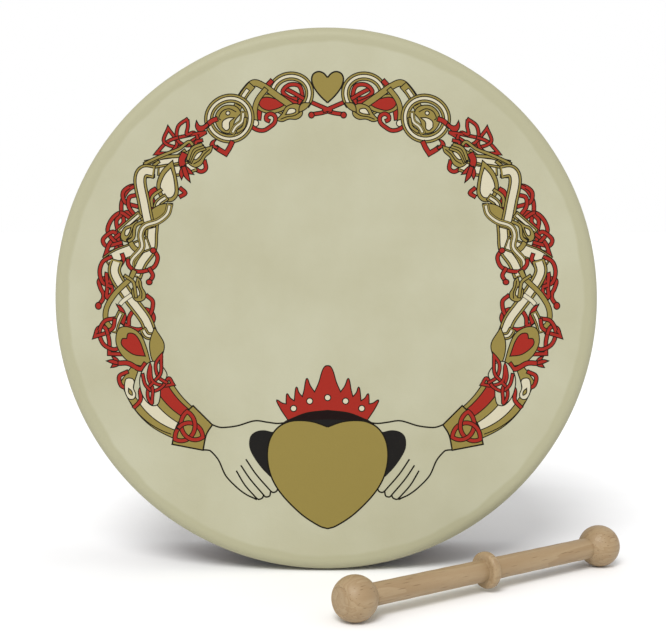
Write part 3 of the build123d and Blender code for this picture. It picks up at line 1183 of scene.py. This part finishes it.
@dataclass(frozen=True)
class Goatskin:
    """Scraped goatskin, limed and dried on the shell: matt, with pores and faint clouding.

    Args:
        field: colour of most of the skin.
        cloud: colour of its darker clouds.
        over_wood: colour where the shell's edge lies behind it.
        shell_edge: radius in mm of the shell's inner edge.
    """

    field: str = "#ADAB92"
    cloud: str = "#A6A388"
    over_wood: str = "#A09D80"
    shell_edge: float = 143.0

    def surface(self, r: Recipe) -> dict[str, Socket]:
        """Adds pores 1.1 mm and wrinkles 7 mm across, which break up the skin's dull shine.

        Args:
            r: the material that they are added to.

        Returns:
            The shader's roughness and normal.
        """
        pores = r.add("TexNoise", Vector=r.place, Scale=1 / 1.1, Detail=2)
        wrinkles = r.add("TexNoise", Vector=r.place, Scale=1 / 7, Detail=3)
        height = r.add("Math", {"operation": "MULTIPLY_ADD"}, in_0=pores, in_1=0.5, in_2=wrinkles)
        return {
            "Roughness": r.add("MapRange", in_0=pores, in_1=0.3, in_2=0.7, in_3=0.5, in_4=0.62),
            "Normal": r.add("Bump", Height=height, Distance=0.09 * MM),
        }

    def make(self) -> bpy.types.Material:
        """Makes the bare skin's material."""
        r = Recipe("goatskin_scraped")
        clouds = r.add("TexNoise", Vector=r.place, Scale=1 / 60, Detail=4, Roughness=0.55)
        clear = r.add("MapRange", in_0=clouds, in_1=0.35, in_2=0.65)
        cloud, bare = linear(self.cloud), linear(self.field)
        colour = r.add("Mix", COLOURS, 2, in_0=clear, in_6=cloud, in_7=bare)
        specks = r.add("TexNoise", Vector=r.place, Scale=1 / 2.4, Detail=4, Roughness=0.7)
        share = r.add("MapRange", in_0=specks, in_1=0.62, in_2=0.78, in_4=0.35)
        colour = r.add("Mix", COLOURS, 2, in_0=share, in_6=colour, in_7=cloud)
        # a darker ring, its inner edge uneven, where the skin lies on the wood
        flat = r.add("VectorMath", MULTIPLY, in_0=r.place, in_1=(1, 0, 1))
        radius = r.add("VectorMath", {"operation": "LENGTH"}, "Value", in_0=flat)
        drift = r.add("TexNoise", Vector=r.place, Scale=1 / 22, Detail=2)
        drift = r.add("MapRange", in_0=drift, in_1=0.3, in_2=0.7, in_3=-0.7, in_4=0.7)
        radius = r.add("Math", in_0=radius, in_1=drift)
        edge = self.shell_edge
        wood = r.add("MapRange", in_0=radius, in_1=edge - 0.8, in_2=edge + 0.8, in_4=0.85)
        colour = r.add("Mix", COLOURS, 2, in_0=wood, in_6=colour, in_7=linear(self.over_wood))
        return r.finish(Base_Color=colour, IOR=1.45, Specular_IOR_Level=0.35, **self.surface(r))


@dataclass(frozen=True)
class PrintInk:
    """Opaque screen ink: flat colour that follows the skin's pores, with less shine than it.

    Args:
        name: what the ink is for.
        colour: its colour.
    """

    name: str
    colour: str

    def make(self, skin: Goatskin) -> bpy.types.Material:
        """Makes the ink's material on a skin."""
        r = Recipe(f"screen_ink_{self.name}")
        colour = linear(self.colour)
        return r.finish(Base_Color=colour, IOR=1.48, Specular_IOR_Level=0.12, **skin.surface(r))


@dataclass(frozen=True)
class SandedBeech:
    """Steamed beech, turned or planed and sanded: fine grain along it, short dark flecks.

    Args:
        name: the material's name.
        along: angle of the grain about z in degrees, from +X.
        tilt: angle of the grain above the table.
        light: colour of the early wood.
        dark: colour of the late wood.
        fleck: colour of the flecks.
    """

    name: str
    along: float
    tilt: float
    light: str
    dark: str
    fleck: str

    def make(self) -> bpy.types.Material:
        """Makes the wood's material."""
        r = Recipe(self.name)
        light, dark = linear(self.light), linear(self.dark)
        turn = (0, radians(self.tilt), radians(-self.along))
        at = r.add("VectorRotate", {"rotation_type": "EULER_XYZ"}, Vector=r.place, Rotation=turn)
        # bowed growth rings run along the piece
        drawn = r.add("Mapping", Vector=at, Scale=(0.06, 1, 1))
        bowed = r.add("TexNoise", Vector=drawn, Scale=1 / 9, Detail=2, Distortion=0.4)
        rings = r.add("Math", MULTIPLY, in_0=bowed, in_1=7.0)
        rings = r.add("Math", {"operation": "FRACT"}, in_0=rings)
        rings = r.add("MapRange", in_0=rings, in_1=0.15, in_2=0.95, in_4=0.75)
        # vessels 0.55 mm wide and 6 mm long, coarser than real ones so that they show
        streaks = r.add("Mapping", Vector=at, Scale=(0.09, 1, 1))
        pores = r.add("TexNoise", Vector=streaks, Scale=1 / 0.55, Detail=3, Roughness=0.6)
        rays = r.add("TexVoronoi", Vector=streaks, Scale=1 / 1.3)
        fleck = r.add("MapRange", in_0=rays, in_1=0.12, in_2=0.24, in_3=0.55, in_4=0)
        colour = r.add("Mix", COLOURS, 2, in_0=rings, in_6=light, in_7=dark)
        depth = r.add("MapRange", in_0=pores, in_1=0.35, in_2=0.7, in_4=0.35)
        colour = r.add("Mix", COLOURS, 2, in_0=depth, in_6=colour, in_7=dark)
        colour = r.add("Mix", COLOURS, 2, in_0=fleck, in_6=colour, in_7=linear(self.fleck))
        rough = r.add("MapRange", in_0=pores, in_1=0.3, in_2=0.7, in_3=0.42, in_4=0.58)
        height = r.add("Math", {"operation": "MULTIPLY_ADD"}, in_0=fleck, in_1=-0.8, in_2=pores)
        bump = r.add("Bump", Height=height, Distance=0.05 * MM)
        satin = {"IOR": 1.5, "Specular_IOR_Level": 0.4}
        return r.finish(Base_Color=colour, Roughness=rough, Normal=bump, **satin)


@dataclass(frozen=True)
class BentAsh:
    """Ash board, steamed and bent to a hoop and stained dark: open grain that runs round it.

    Args:
        light: colour between the grain.
        dark: colour in the grain.
        glue: colour of the joint where the board's ends meet.
    """

    light: str = "#5A3A22"
    dark: str = "#2E1B10"
    glue: str = "#170E08"

    def make(self) -> bpy.types.Material:
        """Makes the hoop's material."""
        r = Recipe("ash_bent_and_stained")
        light, dark = linear(self.light), linear(self.dark)
        x, y, z = r.add("SeparateXYZ", Vector=r.place).node.outputs
        angle = r.add("Math", {"operation": "ARCTAN2"}, in_0=x, in_1=z)
        flat = r.add("VectorMath", MULTIPLY, in_0=r.place, in_1=(1, 0, 1))
        radius = r.add("VectorMath", {"operation": "LENGTH"}, "Value", in_0=flat)
        # the unrolled board, 9 mm to a radian instead of 150, so that the grain is drawn out
        round_it = r.add("Math", MULTIPLY, in_0=angle, in_1=9.0)
        board = r.add("CombineXYZ", in_0=round_it, in_1=y, in_2=radius)
        figure = r.add("TexNoise", Vector=board, Scale=1 / 16, Detail=2, Distortion=0.3)
        figure = r.add("Math", MULTIPLY, in_0=figure, in_1=6.0)
        figure = r.add("Math", {"operation": "FRACT"}, in_0=figure)
        figure = r.add("MapRange", in_0=figure, in_1=0.1, in_2=0.9, in_3=0.15, in_4=0.8)
        grain = r.add("TexNoise", Vector=board, Scale=1 / 0.9, Detail=3, Roughness=0.65)
        vessels = r.add("MapRange", in_0=grain, in_1=0.42, in_2=0.68, in_4=0.7)
        colour = r.add("Mix", COLOURS, 2, in_0=figure, in_6=light, in_7=dark)
        colour = r.add("Mix", COLOURS, 2, in_0=vessels, in_6=colour, in_7=dark)
        # the board's ends meet in a slanting glued joint near the bottom of the hoop
        slant = r.add("Math", {"operation": "ABSOLUTE"}, in_0=angle)
        slant = r.add("Math", SUBTRACT, in_0=slant, in_1=pi - 0.06)
        slant = r.add("Math", MULTIPLY, in_0=slant, in_1=150.0)
        lean = r.add("Math", MULTIPLY, in_0=y, in_1=0.1)
        slant = r.add("Math", SUBTRACT, in_0=slant, in_1=lean)
        slant = r.add("Math", {"operation": "ABSOLUTE"}, in_0=slant)
        seam = r.add("MapRange", in_0=slant, in_1=0.15, in_2=0.5, in_3=0.8, in_4=0)
        colour = r.add("Mix", COLOURS, 2, in_0=seam, in_6=colour, in_7=linear(self.glue))
        rough = r.add("MapRange", in_0=grain, in_1=0.3, in_2=0.7, in_3=0.36, in_4=0.5)
        height = r.add("Math", {"operation": "MULTIPLY_ADD"}, in_0=seam, in_1=2.0, in_2=grain)
        height = r.add("Math", MULTIPLY, in_0=height, in_1=-1.0)
        bump = r.add("Bump", Height=height, Distance=0.08 * MM)
        shine = {"IOR": 1.5, "Specular_IOR_Level": 0.45}
        shine |= {"Coat_Weight": 0.15, "Coat_Roughness": 0.25}
        return r.finish(Base_Color=colour, Roughness=rough, Normal=bump, **shine)


@dataclass(frozen=True)
class BandLeather:
    """Split leather strip, dyed black: matt and pebbled, with painted shade between the pebbles,
    rubbed lighter along its edges.

    Args:
        middle: place of its middle along the drum's axis in mm.
        half: half of its width.
        dye: its colour.
        painted_pebble_shade: painted shade, its colour in the creases between the pebbles.
        rubbed: colour of its edges.
    """

    middle: float
    half: float
    dye: str = "#1B1917"
    painted_pebble_shade: str = "#100F0E"
    rubbed: str = "#3A342D"

    def make(self) -> bpy.types.Material:
        """Makes the strip's material."""
        r = Recipe("leather_split_dyed")
        # pebbles 0.9 mm across
        cell = {"feature": "DISTANCE_TO_EDGE"}
        pebble = r.add("TexVoronoi", cell, "Distance", Vector=r.place, Scale=1 / 0.9)
        pebble = r.add("MapRange", in_0=pebble, in_1=0.02, in_2=0.35)
        along = r.add("SeparateXYZ", Vector=r.place, out="Y")
        away = r.add("Math", SUBTRACT, in_0=along, in_1=self.middle)
        away = r.add("Math", {"operation": "ABSOLUTE"}, in_0=away)
        edge = r.add("MapRange", in_0=away, in_1=self.half - 1.1, in_2=self.half)
        patch = r.add("TexNoise", Vector=r.place, Scale=1 / 3, Detail=4)
        patch = r.add("MapRange", in_0=patch, in_1=0.4, in_2=0.7, in_4=0.9)
        wear = r.add("Math", MULTIPLY, in_0=edge, in_1=patch)
        painted_pebble_shade, dye = linear(self.painted_pebble_shade), linear(self.dye)
        # painted shade: the creases between the pebbles are coloured darker than the dye
        colour = r.add("Mix", COLOURS, 2, in_0=pebble, in_6=painted_pebble_shade, in_7=dye)
        colour = r.add("Mix", COLOURS, 2, in_0=wear, in_6=colour, in_7=linear(self.rubbed))
        rough = r.add("MapRange", in_0=pebble, in_3=0.72, in_4=0.56)
        bump = r.add("Bump", Height=pebble, Distance=0.12 * MM)
        dull = {"IOR": 1.45, "Specular_IOR_Level": 0.4}
        return r.finish(Base_Color=colour, Roughness=rough, Normal=bump, **dull)


@dataclass(frozen=True)
class Metal:
    """Plated or solid metal, tumbled: fine scratches and a little tarnish.

    Args:
        name: the material's name.
        bright: colour of the rubbed metal.
        dull: colour of the tarnish.
        roughness: of the bright metal.
    """

    name: str
    bright: str
    dull: str
    roughness: float

    def make(self) -> bpy.types.Material:
        """Makes the metal's material."""
        r = Recipe(self.name)
        bright, dull, polish = linear(self.bright), linear(self.dull), self.roughness
        # spots of tarnish 2.2 mm across, and scratches 0.5 mm apart
        tarnish = r.add("TexNoise", Vector=r.place, Scale=1 / 2.2, Detail=4, Roughness=0.6)
        tarnish = r.add("MapRange", in_0=tarnish, in_1=0.42, in_2=0.68)
        scratches = r.add("TexNoise", Vector=r.place, Scale=1 / 0.5, Detail=3)
        colour = r.add("Mix", COLOURS, 2, in_0=tarnish, in_6=bright, in_7=dull)
        rough = r.add("MapRange", in_0=tarnish, in_3=polish, in_4=polish + 0.22)
        bump = r.add("Bump", Height=scratches, Distance=0.02 * MM)
        return r.finish(Base_Color=colour, Roughness=rough, Normal=bump, Metallic=1.0)


# ---- Sub-assemblies ---------------------------------------------------------


def finish_node(name: str, material: bpy.types.Material) -> None:
    """Gives a carried-over CAD piece its material.

    Args:
        name: the CAD node's name.
        material: its material.
    """
    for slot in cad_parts[name].material_slots:
        slot.material = material
    log.info("%s takes %s", name, material.name)


def hand_over(piece: bpy.types.Object, body: str, slot: Slot, *nodes: str) -> None:
    """Attaches a finished piece to its body, and hides the CAD nodes that it stands for.

    Args:
        piece: the piece.
        body: the body that it rides on.
        slot: the record's slot that it takes its finish from; not used.
        nodes: the CAD nodes that it stands for.
    """
    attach(piece, body)
    if nodes:
        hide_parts(*nodes)
    log.info("%s: %d faces", piece.name, len(piece.data.polygons))


@dataclass
class Head:
    """Skin stretched over the shell's front edge, with the design printed on it.

    Args:
        radius: outer radius of the skin's skirt.
        flat_radius: where the face ends and the bend begins.
        thickness: of the skin.
        skirt: how far the skirt runs back from the face.
        bend_depth: how much of that the bend takes; not used.
        print_scale: size of the print against the drawing.
        print_at: centre of the print from the drum's centre, to the right and up.
        ink_film: how far the ink stands above the skin.
    """

    radius: float = 151.6
    flat_radius: float = 145.8
    thickness: float = 0.8
    skirt: float = 27.0
    bend_depth: float = 5.4
    print_scale: float = 0.982
    print_at: Point = (0.8, 1.1)
    ink_film: float = 0.04
    skin: Goatskin = field(default_factory=Goatskin)
    inks: dict[Ink, PrintInk] = field(
        default_factory=lambda: {
            Ink.GOLD: PrintInk("gold", "#84753C"),
            Ink.RED: PrintInk("red", "#91241A"),
            Ink.CREAM: PrintInk("cream", "#BEB79E"),
            Ink.LINE: PrintInk("outline", "#120E05"),
            Ink.CHARCOAL: PrintInk("charcoal", "#171513"),
            Ink.MAROON: PrintInk("maroon", "#140504"),
        }
    )

    def build_skin(self) -> bpy.types.Object:
        """Models the skin: face, bend, skirt and the same inside."""
        outside, inside = self.radius, self.radius - self.thickness
        outer, inner = outside - self.flat_radius, outside - self.flat_radius - self.thickness
        rings = [25.0, 60.0, 95.0, 120.0, 134.0, 140.0, 143.5]
        profile = [(0.0, 0.0)] + [(r, 0.0) for r in rings]
        profile += bend((self.flat_radius, outer), outer, -90, 0, 10)
        profile += [(outside, 12.0), (outside, self.skirt), (inside, self.skirt), (inside, 12.0)]
        profile += bend((self.flat_radius, outer), inner, 0, -90, 8)
        profile += [(r, self.thickness) for r in reversed(rings)] + [(0.0, self.thickness)]
        points = [Vector((x, y, 0)) for x, y in profile]
        piece = turned("drumhead_skin", points, Y_AXIS, 192)
        shade(piece, 40)
        piece.data.materials.append(self.skin.make())
        return piece

    def cut_print(self, drawing: Drawing) -> tuple[list[Vector], list[tuple[list[int], Ink]]]:
        """Cuts the drawing's overlapping areas into one layer that fits edge to edge.

        Args:
            drawing: right half of the design.

        Returns:
            Points, and faces with the ink that covers each.
        """
        areas = []
        for ink, outline in drawing.areas:
            areas += [(ink, outline), (ink, [(-x, y) for x, y in reversed(outline)])]
        loops, points = [], []
        for _, outline in areas:
            loops.append(list(range(len(points), len(points) + len(outline))))
            points += [Vector(p) for p in outline]
        closeness = 1e-4  # mm, points nearer than this are one
        where, _, faces, _, _, source = delaunay_2d_cdt(points, [], loops, 1, closeness, True)
        bounds = [
            [f(p[i] for p in outline) for i in (0, 1) for f in (min, max)] for _, outline in areas
        ]
        kept = []
        for face, covers in zip(faces, source):
            # rounding can turn a sliver inside out, and it then claims faces outside itself
            x, y = (sum(where[v][i] for v in face) / 3 for i in (0, 1))
            near = [
                k
                for k in covers
                if bounds[k][0] < x < bounds[k][1] and bounds[k][2] < y < bounds[k][3]
            ]
            if near and areas[max(near)][0] is not Ink.SKIN:
                kept.append((face, areas[max(near)][0]))
        return where, kept

    def build_print(self, drawing: Drawing) -> list[bpy.types.Object]:
        """Lays down one film of each ink, as a screen printer does.

        Args:
            drawing: right half of the design.

        Returns:
            One piece for each ink.
        """
        where, kept = self.cut_print(drawing)
        size, (right, up) = self.print_scale, self.print_at
        y = -self.ink_film * MM
        spots = [((p.x * size + right) * MM, y, (p.y * size + up) * MM) for p in where]
        films = []
        for ink, finish in self.inks.items():
            mesh = bpy.data.meshes.new(f"print_{finish.name}")
            mesh.from_pydata(spots, [], [face for face, cover in kept if cover is ink])
            mesh.materials.append(finish.make(self.skin))
            film = bpy.data.objects.new(mesh.name, mesh)
            bpy.context.scene.collection.objects.link(film)
            pick(film)
            bpy.ops.object.mode_set(mode="EDIT")
            bpy.ops.mesh.select_all(action="SELECT")
            bpy.ops.mesh.delete_loose()
            bpy.ops.object.mode_set(mode="OBJECT")
            films.append(film)
        return films

    def build(self) -> None:
        """Builds the skin and its print."""
        skin = self.build_skin()
        hand_over(skin, "drum", Slot.SKIN, "drumhead")
        drawing = Drawing()
        Wreath().draw(drawing)
        Emblem().draw(drawing)
        for film in self.build_print(drawing):
            hand_over(film, "drum", Slot.SKIN)


@dataclass
class Band:
    """Leather strip over the skin's cut edge, held by round-headed nails.

    Args:
        radius: its outer radius.
        thickness: of the leather.
        setback: from the playing face to its front edge.
        width: along the drum's axis.
        nails: how many there are.
        head_radius: of a nail's head.
        head_rise: from the leather to the top of a head.
        head_sink: how deep a head beds in.
        edge: round along the leather's edges.
        dent: how deep a nail presses the leather in.
        dent_reach: how far from a head the leather is pressed in.
        crooked: how far a nail leans at most, in radians.
    """

    radius: float = 152.5
    thickness: float = 0.9
    setback: float = 12.0
    width: float = 15.0
    nails: int = 24
    head_radius: float = 4.5
    head_rise: float = 1.0
    head_sink: float = 0.2
    edge: float = 0.45
    dent: float = 0.28
    dent_reach: float = 3.0
    crooked: float = 0.02

    def spokes(self) -> list[float]:
        """Angles of the nails, the drum standing between the lowest two."""
        pitch = 2 * pi / self.nails
        return [-pi / 2 + (i + 0.5) * pitch for i in range(self.nails)]

    def build_strip(self) -> bpy.types.Object:
        """Models the strip with rounded edges, pressed in round each nail."""
        low, high = self.setback, self.setback + self.width
        inner, edge = self.radius - self.thickness, self.edge
        profile = [(0, low), (inner, low + 0.1)]
        profile += bend((self.radius - edge, low + edge), edge, -90, 0, 4)
        profile += [(self.radius, low + self.width * k / 8) for k in range(1, 8)]
        profile += bend((self.radius - edge, high - edge), edge, 0, 90, 4)
        profile += [(inner, high - 0.1), (inner, low + 0.1)]
        points = [Vector((x, y, 0)) for x, y in profile]
        piece = turned("skin_band_strip", points, Y_AXIS, 288)
        # the first run only led from the axis to the strip
        pick(piece)
        bpy.ops.object.mode_set(mode="EDIT")
        mesh = bmesh.from_edit_mesh(piece.data)
        for face in mesh.faces:
            face.select_set(any(hypot(v.co.x, v.co.z) < (inner - 1) * MM for v in face.verts))
        bpy.ops.mesh.delete(type="FACE")
        bpy.ops.mesh.select_all(action="SELECT")
        bpy.ops.mesh.remove_doubles(threshold=WELD)
        bpy.ops.mesh.normals_make_consistent(inside=False)
        bpy.ops.object.mode_set(mode="OBJECT")
        middle = (low + high) / 2 * MM
        spokes = self.spokes()
        for v in piece.data.vertices:
            r, angle = hypot(v.co.x, v.co.z), atan2(v.co.z, v.co.x)
            away = min(abs((angle - s + pi) % (2 * pi) - pi) for s in spokes) * r
            near = hypot(away, v.co.y - middle) / MM
            if r > (inner + 0.3) * MM:
                share = 1 - max(0.0, near - self.head_radius) / self.dent_reach
                dip = self.dent * max(0.0, share) ** 2 * MM
                v.co.x -= dip * v.co.x / r
                v.co.z -= dip * v.co.z / r
        shade(piece, 50)
        leather = BandLeather(middle=low + self.width / 2, half=self.width / 2)
        piece.data.materials.append(leather.make())
        return piece

    def build_nails(self) -> bpy.types.Object:
        """Models one nail's domed head and shank, and copies it round the band."""
        rise, rim, shank, base = self.head_rise, self.head_radius, 0.8, 0.25
        angles = [radians(a) for a in range(0, 90, 10)]
        profile = [(rim * sin(a), base + (rise - base) * cos(a)) for a in angles]
        profile += [(rim, 0.2), (rim - 0.1, -0.12), (rim - 0.4, -self.head_sink)]
        profile += [(shank, -self.head_sink), (shank, -6.0), (0, -8.0)]
        points = [Vector((x, 0, z)) for x, z in profile]
        first = turned("band_nail_heads", points, Vector((0, 0, 1)), 24)
        shape = first.data.copy()
        middle = (self.setback + self.width / 2) * MM
        copies = []
        for i, angle in enumerate(self.spokes()):
            out = Vector((cos(angle), 0, sin(angle)))
            turn = Vector((0, 0, 1)).rotation_difference(out).to_matrix().to_4x4()
            # each head was driven by hand, so none stands quite straight
            lean = Matrix.Rotation(self.crooked * sin(5.1 * i), 4, "Y")
            lean @= Matrix.Rotation(self.crooked * cos(3.7 * i), 4, "X")
            where = Matrix.Translation(out * self.radius * MM + Vector((0, middle, 0)))
            mesh = shape.copy()
            mesh.transform(where @ turn @ lean)
            nail = first if i == 0 else bpy.data.objects.new(f"nail_{i}", mesh)
            if i == 0:
                first.data = mesh
            else:
                bpy.context.scene.collection.objects.link(nail)
            copies.append(nail)
        bpy.ops.object.select_all(action="DESELECT")
        for nail in copies:
            nail.select_set(True)
        bpy.context.view_layer.objects.active = first
        bpy.ops.object.join()
        shade(first, 35)
        first.data.materials.append(Metal("brass_antiqued", "#B08A4A", "#5E4524", 0.3).make())
        return first

    def build(self) -> None:
        """Builds the strip and its nails."""
        hand_over(self.build_strip(), "drum", Slot.BAND, "skin_band")
        hand_over(self.build_nails(), "drum", Slot.NAILS, "band_nails")


@dataclass
class Frame:
    """Shell, crossed bars and their screws, which keep their CAD shapes."""

    def build(self) -> None:
        """Gives each of the frame's pieces its finish."""
        finish_node("shell", BentAsh().make())
        tones = ("#B58A5C", "#94683E", "#6E4A2A")
        level = SandedBeech("beech_planed_level", 0, 0, *tones)
        upright = SandedBeech("beech_planed_upright", 0, 90, *tones)
        finish_node("crossbar_level", level.make())
        finish_node("crossbar_upright", upright.make())
        zinc = Metal("steel_zinc_plated", "#C4C6C6", "#8E8F8C", 0.32).make()
        finish_node("bar_screws", zinc)
        finish_node("lap_screw", zinc)


@dataclass
class Tipper:
    """Beater turned from one piece: two balls, a shaft, and a ring at its middle.

    Args:
        ball: radius of the balls.
        spacing: between the balls' centres.
        end_face: radius of the flat end faces.
        shaft: radius of the shaft.
        ring: radius of the ring.
        ring_thickness: along the shaft.
        near: centre of the near ball.
        turn: degrees from +X towards +Y.
    """

    ball: float = 11.75
    spacing: float = 178.4
    end_face: float = 7.55
    shaft: float = 5.85
    ring: float = 9.8
    ring_thickness: float = 5.4
    near: Point3 = (14.6, -93.9, -140.75)
    turn: float = 37.3

    def half_profile(self) -> list[Point]:
        """Profile from the near end face's centre to the middle of the ring."""
        face = -sqrt(self.ball**2 - self.end_face**2)
        neck = sqrt(self.ball**2 - self.shaft**2)
        start, end = pi - atan2(self.end_face, -face), atan2(self.shaft, neck)
        # flat end face with a groove round it
        points = [(face + 0.12, 0.0), (face + 0.02, 1.6), (face, 3.4), (face, self.end_face - 1.0)]
        points += [(face + 0.35, self.end_face - 0.62), (face + 0.1, self.end_face - 0.1)]
        for k in range(1, 34):
            a = start + (end - start) * k / 33
            points.append((self.ball * cos(a), self.ball * sin(a)))
        # shaft, a little uneven from the gouge, with a groove at each end
        thin = self.shaft
        points += [(neck + 0.2, thin - 0.35), (neck + 0.6, thin - 0.12), (neck + 1.4, thin - 0.02)]
        stop = (self.spacing - self.ring_thickness) / 2
        runs = 12
        for k in range(1, runs):
            x = neck + 1.4 + (stop - 1.5 - neck - 1.4) * k / runs
            points.append((x, thin + 0.05 * sin(k * 2.4)))
        points += [(stop - 0.9, thin - 0.02), (stop - 0.2, thin - 0.3), (stop, thin - 0.1)]
        # half of the ring
        points += [(stop + 0.02, thin + 1.0), (stop + 0.1, self.ring - 2.0)]
        for k in range(1, 8):
            a = radians(180 - 90 * k / 7)
            points.append((stop + 2.0 + 1.9 * cos(a), self.ring - 1.9 + 1.9 * sin(a)))
        points.append((self.spacing / 2, self.ring))
        return points

    def build(self) -> None:
        """Turns the beater and lays it in its place."""
        half = self.half_profile()
        whole = half + [(self.spacing - x, r) for x, r in reversed(half[:-1])]
        points = [Vector((x, 0, r)) for x, r in whole]
        piece = turned("tipper_turned", points, Vector((1, 0, 0)), 96)
        turn = Matrix.Rotation(radians(self.turn), 4, "Z")
        piece.data.transform(Matrix.Translation(Vector(self.near) * MM) @ turn)
        shade(piece, 45)
        wood = SandedBeech("beech_turned", self.turn, 0, "#A18B6B", "#917857", "#6A5032")
        piece.data.materials.append(wood.make())
        hand_over(piece, "tipper", Slot.TIPPER, "tipper")


@dataclass
class Studio:
    """Pale floor, soft studio light, and the camera.

    Args:
        table: height of the floor.
        eye: the camera's place in mm.
        pitch: degrees that it looks down.
        focal: its lens in picture widths.
        room: brightness of the soft light from all round.
        window: brightness of the soft light from one side.
        spread: how wide that light is, in degrees.
        window_way: the way that it shines.
        paper: colour of the floor's paper.
        paper_shade: colour of its tooth.
    """

    table: float = -152.5
    eye: Point3 = (3.8, -732.0, 41.0)
    pitch: float = 4.059
    focal: float = 1318.7 / 666
    room: float = 0.72
    window: float = 2.15
    spread: float = 26.0
    window_way: Point3 = (0.15, 0.68, -0.72)
    paper: str = "#FAFAFA"
    paper_shade: str = "#F6F6F6"

    def build_floor(self) -> None:
        """Models the floor, wide enough to reach the horizon, its far edge turned down."""
        bpy.ops.object.select_all(action="DESELECT")
        bpy.ops.mesh.primitive_plane_add(size=60, location=(0, 20, self.table * MM))
        floor = bpy.context.object
        floor.name = "floor_paper"
        bpy.ops.object.transform_apply(location=True)
        bpy.ops.object.mode_set(mode="EDIT")
        mesh = bmesh.from_edit_mesh(floor.data)
        for edge in mesh.edges:
            edge.select_set(all(v.co.y > 49 for v in edge.verts))
        bpy.ops.mesh.extrude_region_move(TRANSFORM_OT_translate={"value": (0, 0, -1)})
        bpy.ops.object.mode_set(mode="OBJECT")
        r = Recipe("paper_matt")
        tooth = r.add("TexNoise", Vector=r.place, Scale=1 / 40, Detail=2)
        tint, white = linear(self.paper_shade), linear(self.paper)
        colour = r.add("Mix", COLOURS, 2, in_0=tooth, in_6=tint, in_7=white)
        rough = r.add("MapRange", in_0=tooth, in_3=0.85, in_4=0.95)
        paper = r.finish(Base_Color=colour, Roughness=rough, Specular_IOR_Level=0.1)
        floor.data.materials.append(paper)

    def build(self) -> None:
        """Builds the floor, lights and camera."""
        self.build_floor()
        sun = bpy.data.lights.new("window", "SUN")
        sun.energy, sun.angle = self.window, radians(self.spread)
        window = bpy.data.objects.new("window", sun)
        window.rotation_euler = Vector(self.window_way).to_track_quat("-Z", "Y").to_euler()
        bpy.context.scene.collection.objects.link(window)
        world = bpy.data.worlds.new("studio")
        bpy.context.scene.world = world
        world.use_nodes = True
        nodes = Nodes(world.node_tree)
        room = nodes.add("Background", Color=(1, 1, 1, 1), Strength=self.room)
        # the backdrop itself is burnt out to white, as behind a cut-out
        seen = nodes.add("Background", Color=(1, 1, 1, 1), Strength=1.0)
        by_camera = nodes.add("LightPath", out="Is Camera Ray")
        either = nodes.add("MixShader", in_0=by_camera, in_1=room, in_2=seen)
        nodes.feed(world.node_tree.nodes["World Output"], Surface=either)
        data = bpy.data.cameras.new("camera")
        data.sensor_width = 36
        data.lens = 36 * self.focal
        camera = bpy.data.objects.new("camera", data)
        camera.location = Vector(self.eye) * MM
        camera.rotation_euler = (radians(90 - self.pitch), 0, 0)
        bpy.context.scene.collection.objects.link(camera)
        bpy.context.scene.camera = camera
        bpy.context.scene.view_settings.view_transform = "Standard"


def main() -> None:
    """Builds every piece, in order."""
    logging.basicConfig(level=logging.INFO, format="%(name)s %(message)s")
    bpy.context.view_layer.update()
    Studio().build()
    for part in (Head(), Band(), Frame(), Tipper()):
        part.build()
        log.info("%s done", type(part).__name__)


if __name__ == "__main__":
    main()
